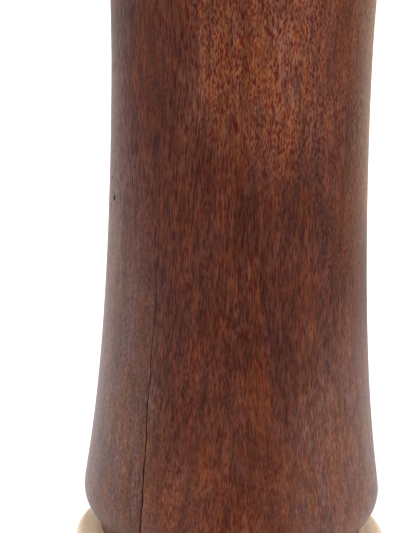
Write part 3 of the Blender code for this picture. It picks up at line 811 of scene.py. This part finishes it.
def make_bolt(material):
    """The bolt up into the knob, with a screwdriver slot in its head."""
    shank_r, head_r, head_top = 1.25, 2.5, WASHER_LOW - 0.15
    slot_length, slot_width, slot_height = 8.0, 0.9, 1.6
    corners = [
        (0, BOLT_TOP, 0), (shank_r, BOLT_TOP, 0.2), (shank_r, head_top, 0), (head_r, head_top, 0.12),
        (head_r, BOLT_LOW + 0.4, 0.25), (head_r - 0.4, BOLT_LOW, 0.2), (0, BOLT_LOW, 0)]
    bolt = lathe("bolt", rounded(corners), material, "rack", "knob_bolt", 96)
    slot_mesh = bpy.data.meshes.new("slot")
    shape = bmesh.new()
    sizes = (slot_length * MM, slot_width * MM, slot_height * MM, 1.0)
    bmesh.ops.create_cube(shape, size=1.0, matrix=Matrix.Diagonal(sizes))
    shape.to_mesh(slot_mesh)
    shape.free()
    tool = bpy.data.objects.new("slot", slot_mesh)
    tool.location = (0, 0, BOLT_LOW * MM)
    bpy.context.scene.collection.objects.link(tool)
    cut = bolt.modifiers.new("slot", "BOOLEAN")
    cut.object = tool
    cut.operation = "DIFFERENCE"
    apply_modifiers(bolt)
    bpy.data.objects.remove(tool, do_unlink=True)


def apply_modifiers(obj):
    """Turns an object's modifiers into plain mesh."""
    bpy.context.view_layer.update()
    graph = bpy.context.evaluated_depsgraph_get()
    mesh = bpy.data.meshes.new_from_object(obj.evaluated_get(graph))
    obj.modifiers.clear()
    obj.data = mesh
    mesh.shade_smooth()
    mesh.set_sharp_from_angle(angle=math.radians(35))


# ---------------------------------------------------------------- stage

WHITE, WARM = rgb(1.0, 1.0, 1.0), rgb(1.0, 0.80, 0.62)
FLOOR_HALF = 4.0  # metres
FLOOR_DIM, FLOOR_BRIGHT = rgb(0.92, 0.92, 0.92), rgb(0.95, 0.95, 0.95)

# how far the white paper reaches (millimetres) at azimuths from the front rightwards (degrees)
PAPER_AZIMUTHS = (-180, -112, -80, -50, -30, 0, 30, 50, 80, 112, 150, 180)
PAPER_RADII = (300, 300, 250, 130, 95, 80, 95, 130, 210, 210, 210, 300)
NEAR_INNER, NEAR_OUTER = 24.5, 52.0
GAP_OUTER = 340.0
FAR = 3400.0
APRON_HALF = 115.0
CARD_LIFT = 0.3
PANEL_DISTANCE = 700
# upright cards: name, first and last azimuth, lowest and highest level, strength
PANELS = (
    ("right_panel", 34, 80, 0, 80, 3.0),
    ("left_panel", -46, -22, 0, 150, 1.6),
    ("far_left_panel", -100, -50, 0, 60, 1.8),
)
DOME_ROWS, DOME_COLUMNS = 10, 40
DOME_LOW, DOME_HIGH, DOME_FRONT = 0.08, 1.0, 0.1

# broad soft lamps: azimuth from the front rightwards, elevation, strength, how wide each looks (degrees)
LAMPS = (
    ("overhead", 20, 80, 3.0, 110),
    ("right_key", 78, 30, 1.4, 60),
    ("left_fill", -75, 32, 1.05, 60),
    ("front_fill", 0, 30, 0.2, 60),
    ("back_fill", 180, 30, 0.9, 70),
)

CAMERA_TILT, CAMERA_ROLL = math.radians(12.5), math.radians(1.15)
CAMERA_AIM, CAMERA_DISTANCE = Vector((-5.84, 0, BASE_TOP + 43.5)), 261.0


def make_floor():
    """The pale floor that the holder stands on."""
    mesh = bpy.data.meshes.new("floor")
    corners = [(-FLOOR_HALF, -FLOOR_HALF, 0), (FLOOR_HALF, -FLOOR_HALF, 0), (FLOOR_HALF, FLOOR_HALF, 0),
               (-FLOOR_HALF, FLOOR_HALF, 0)]
    mesh.from_pydata(corners, [], [(0, 1, 2, 3)])
    g = Graph("pale_floor")
    tone = g.noise(g.stretch(g.place, (400, 400, 400)), 2.0)
    g.finish(Base_Color=g.mix(tone, FLOOR_DIM, FLOOR_BRIGHT), Roughness=0.9)
    mesh.materials.append(g.material)
    floor = bpy.data.objects.new("floor", mesh)
    bpy.context.scene.collection.objects.link(floor)


def polar(radius, azimuth, z=0.0):
    """A point in metres, from a radius and height in millimetres and an azimuth in degrees."""
    a = math.radians(azimuth)
    return (radius * math.sin(a) * MM, -radius * math.cos(a) * MM, z * MM)


def add_card(g, verts, faces, strength, colour=WHITE):
    """A studio card that only reflections see. It shapes the gloss on the turned wood."""
    mesh = bpy.data.meshes.new(g.material.name)
    mesh.from_pydata(verts, [], faces)
    g.finish(Base_Color=rgb(0.0, 0.0, 0.0), Roughness=1.0, Specular_IOR_Level=0.0,
             Emission_Color=colour, Emission_Strength=strength)
    g.material.cycles.emission_sampling = "NONE"
    mesh.materials.append(g.material)
    card = bpy.data.objects.new(g.material.name, mesh)
    bpy.context.scene.collection.objects.link(card)
    card.visible_camera = False
    card.visible_diffuse = False
    card.visible_transmission = False
    card.visible_volume_scatter = False
    card.visible_shadow = False


def paper_edge(azimuth):
    """How far the white paper reaches at an azimuth, in millimetres."""
    return np.interp((azimuth + 180) % 360 - 180, PAPER_AZIMUTHS, PAPER_RADII)


# level cards: name, first and last azimuth, inner and outer edge, how many sides, strength, colour
LEVEL_CARDS = (
    ("near_paper", 0, 360, NEAR_INNER, NEAR_OUTER, 90, 1.15, WHITE),
    ("front_paper", -45, 45, NEAR_OUTER, paper_edge, 44, 0.9, WHITE),
    ("right_paper", 45, 135, NEAR_OUTER, paper_edge, 44, 1.6, WHITE),
    ("back_paper", 135, 225, NEAR_OUTER, paper_edge, 44, 1.6, WHITE),
    ("left_paper", 225, 315, NEAR_OUTER, paper_edge, 44, 1.9, WHITE),
    ("dark_apron", -APRON_HALF, APRON_HALF, paper_edge, FAR, 44, 0.0, WHITE),
    ("dark_gap", APRON_HALF, 180, paper_edge, GAP_OUTER, 44, 0.5, WHITE),
    ("warm_back", APRON_HALF, 180, GAP_OUTER, FAR, 44, 2.3, WARM),
    ("grey_back", 180, 360 - APRON_HALF, paper_edge, FAR, 44, 1.5, WHITE),
)


def make_level_cards():
    """White paper round the holder, with a dark apron beyond it in front and grey or warm cards behind."""
    for name, start, end, inner, outer, sides, strength, colour in LEVEL_CARDS:
        verts = []
        for azimuth in np.linspace(start, end, sides + 1):
            for edge in (inner, outer):
                radius = edge(azimuth) if callable(edge) else edge
                verts.append(polar(radius, azimuth, CARD_LIFT))
        faces = [(2 * i, 2 * i + 1, 2 * i + 3, 2 * i + 2) for i in range(sides)]
        add_card(Graph(name), verts, faces, strength, colour)


def make_panels():
    """Upright cards that make the bright bands along both sides of the wood."""
    for name, start, end, low, high, strength in PANELS:
        corners = [polar(PANEL_DISTANCE, azimuth, level)
                   for azimuth, level in ((start, low), (end, low), (end, high), (start, high))]
        add_card(Graph(name), corners, [(0, 1, 2, 3)], strength)


def make_dome():
    """A dome over everything: white behind and overhead, dark behind the camera."""
    verts, faces = [], []
    for row in range(DOME_ROWS + 1):
        tilt = math.radians(90.0 * row / DOME_ROWS)
        for i in range(DOME_COLUMNS):
            verts.append(polar(FAR * math.cos(tilt), 360 * i / DOME_COLUMNS, FAR * math.sin(tilt)))
    for row in range(DOME_ROWS):
        low, high = row * DOME_COLUMNS, (row + 1) * DOME_COLUMNS
        for i in range(DOME_COLUMNS):
            j = (i + 1) % DOME_COLUMNS
            faces.append((low + i, low + j, high + j, high + i))
    g = Graph("gloss_dome")
    away = g.vector("NORMALIZE", g.place)
    strength = g.math("MULTIPLY", g.remap(g.split(away, "Z"), 0.15, 0.7, DOME_LOW, DOME_HIGH),
                      g.remap(g.split(away, "Y"), -0.1, 0.7, DOME_FRONT, 1.0))
    add_card(g, verts, faces, strength)


def make_lamps():
    """Soft lamps with no fall-off, which light the wood and the paper but leave no gloss of their own."""
    for name, azimuth, elevation, strength, width in LAMPS:
        lamp = bpy.data.lights.new(name, "SUN")
        lamp.energy = strength
        lamp.angle = math.radians(width)
        lamp.cycles.use_multiple_importance_sampling = False
        holder = bpy.data.objects.new(name, lamp)
        bpy.context.scene.collection.objects.link(holder)
        holder.rotation_euler = (math.radians(90 - elevation), 0.0, math.radians(azimuth))
        holder.visible_glossy = False
        holder.visible_camera = False


def make_world():
    """Plain white, which only the camera sees."""
    world = bpy.data.worlds.new("studio")
    bpy.context.scene.world = world
    world.use_nodes = True
    back = world.node_tree.nodes["Background"]
    back.inputs["Color"].default_value = WHITE
    back.inputs["Strength"].default_value = 1.0
    world.cycles_visibility.diffuse = False
    world.cycles_visibility.glossy = False
    world.cycles_visibility.transmission = False
    world.cycles_visibility.scatter = False
    world.cycles.sampling_method = "NONE"


def make_camera():
    """The camera stands a little above the holder's middle, with the holder leaning slightly to the right."""
    back = Vector((0, -math.cos(CAMERA_TILT), math.sin(CAMERA_TILT)))
    right = Vector((1, 0, 0))
    up = back.cross(right)
    side = right * math.cos(CAMERA_ROLL) + up * math.sin(CAMERA_ROLL)
    up = up * math.cos(CAMERA_ROLL) - right * math.sin(CAMERA_ROLL)
    data = bpy.data.cameras.new("camera")
    data.lens = 110.0
    data.sensor_width = 36.0
    data.clip_start = 0.01
    data.clip_end = 20.0
    camera = bpy.data.objects.new("camera", data)
    place = (CAMERA_AIM + back * CAMERA_DISTANCE) * MM
    camera.matrix_world = Matrix.Translation(place) @ Matrix((side, up, back)).transposed().to_4x4()
    bpy.context.scene.collection.objects.link(camera)
    bpy.context.scene.camera = camera


# ---------------------------------------------------------------- everything in its place


def paint_hidden_steel():
    """The ballast and the screws keep their CAD shapes and only get a material."""
    for name in ("ballast_weight", "base_screw_1", "base_screw_2", "base_screw_3"):
        steel = turned_metal(f"steel_{name}", STEEL, STEEL_DULL, axis_of(name), 0.32)
        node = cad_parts[name]
        node.data.materials.clear()
        node.data.materials.append(steel)


make_camera()
make_floor()
make_level_cards()
make_panels()
make_dome()
make_lamps()
make_world()

make_body(mahogany("mahogany_body_wood", checked=True))
make_base(maple("maple_base_wood", along="Y"))
make_felt_foot(felt("felt_foot_wool"))
make_collar(maple("maple_collar_wood", along="X"))
make_liner(turned_metal("brass_liner_metal", BRASS, BRASS_DULL, rough=0.26))
make_well_pad(felt("felt_pad_wool"))
make_pin(turned_metal("brass_pin_metal", BRASS, BRASS_DULL, axis_of("locating_pin")))
make_rack(mahogany("mahogany_rack_wood", along="X"))
make_ferrules(BRASS, BRASS_DULL)
make_knob(turned_metal("brass_knob_metal", BRASS, BRASS_DULL, rough=0.18))
make_washer(turned_metal("brass_washer_metal", BRASS, BRASS_DULL, rough=0.28))
make_bolt(turned_metal("brass_bolt_metal", BRASS, BRASS_DULL, rough=0.24))
paint_hidden_steel()

bpy.context.scene.view_settings.view_transform = "Standard"
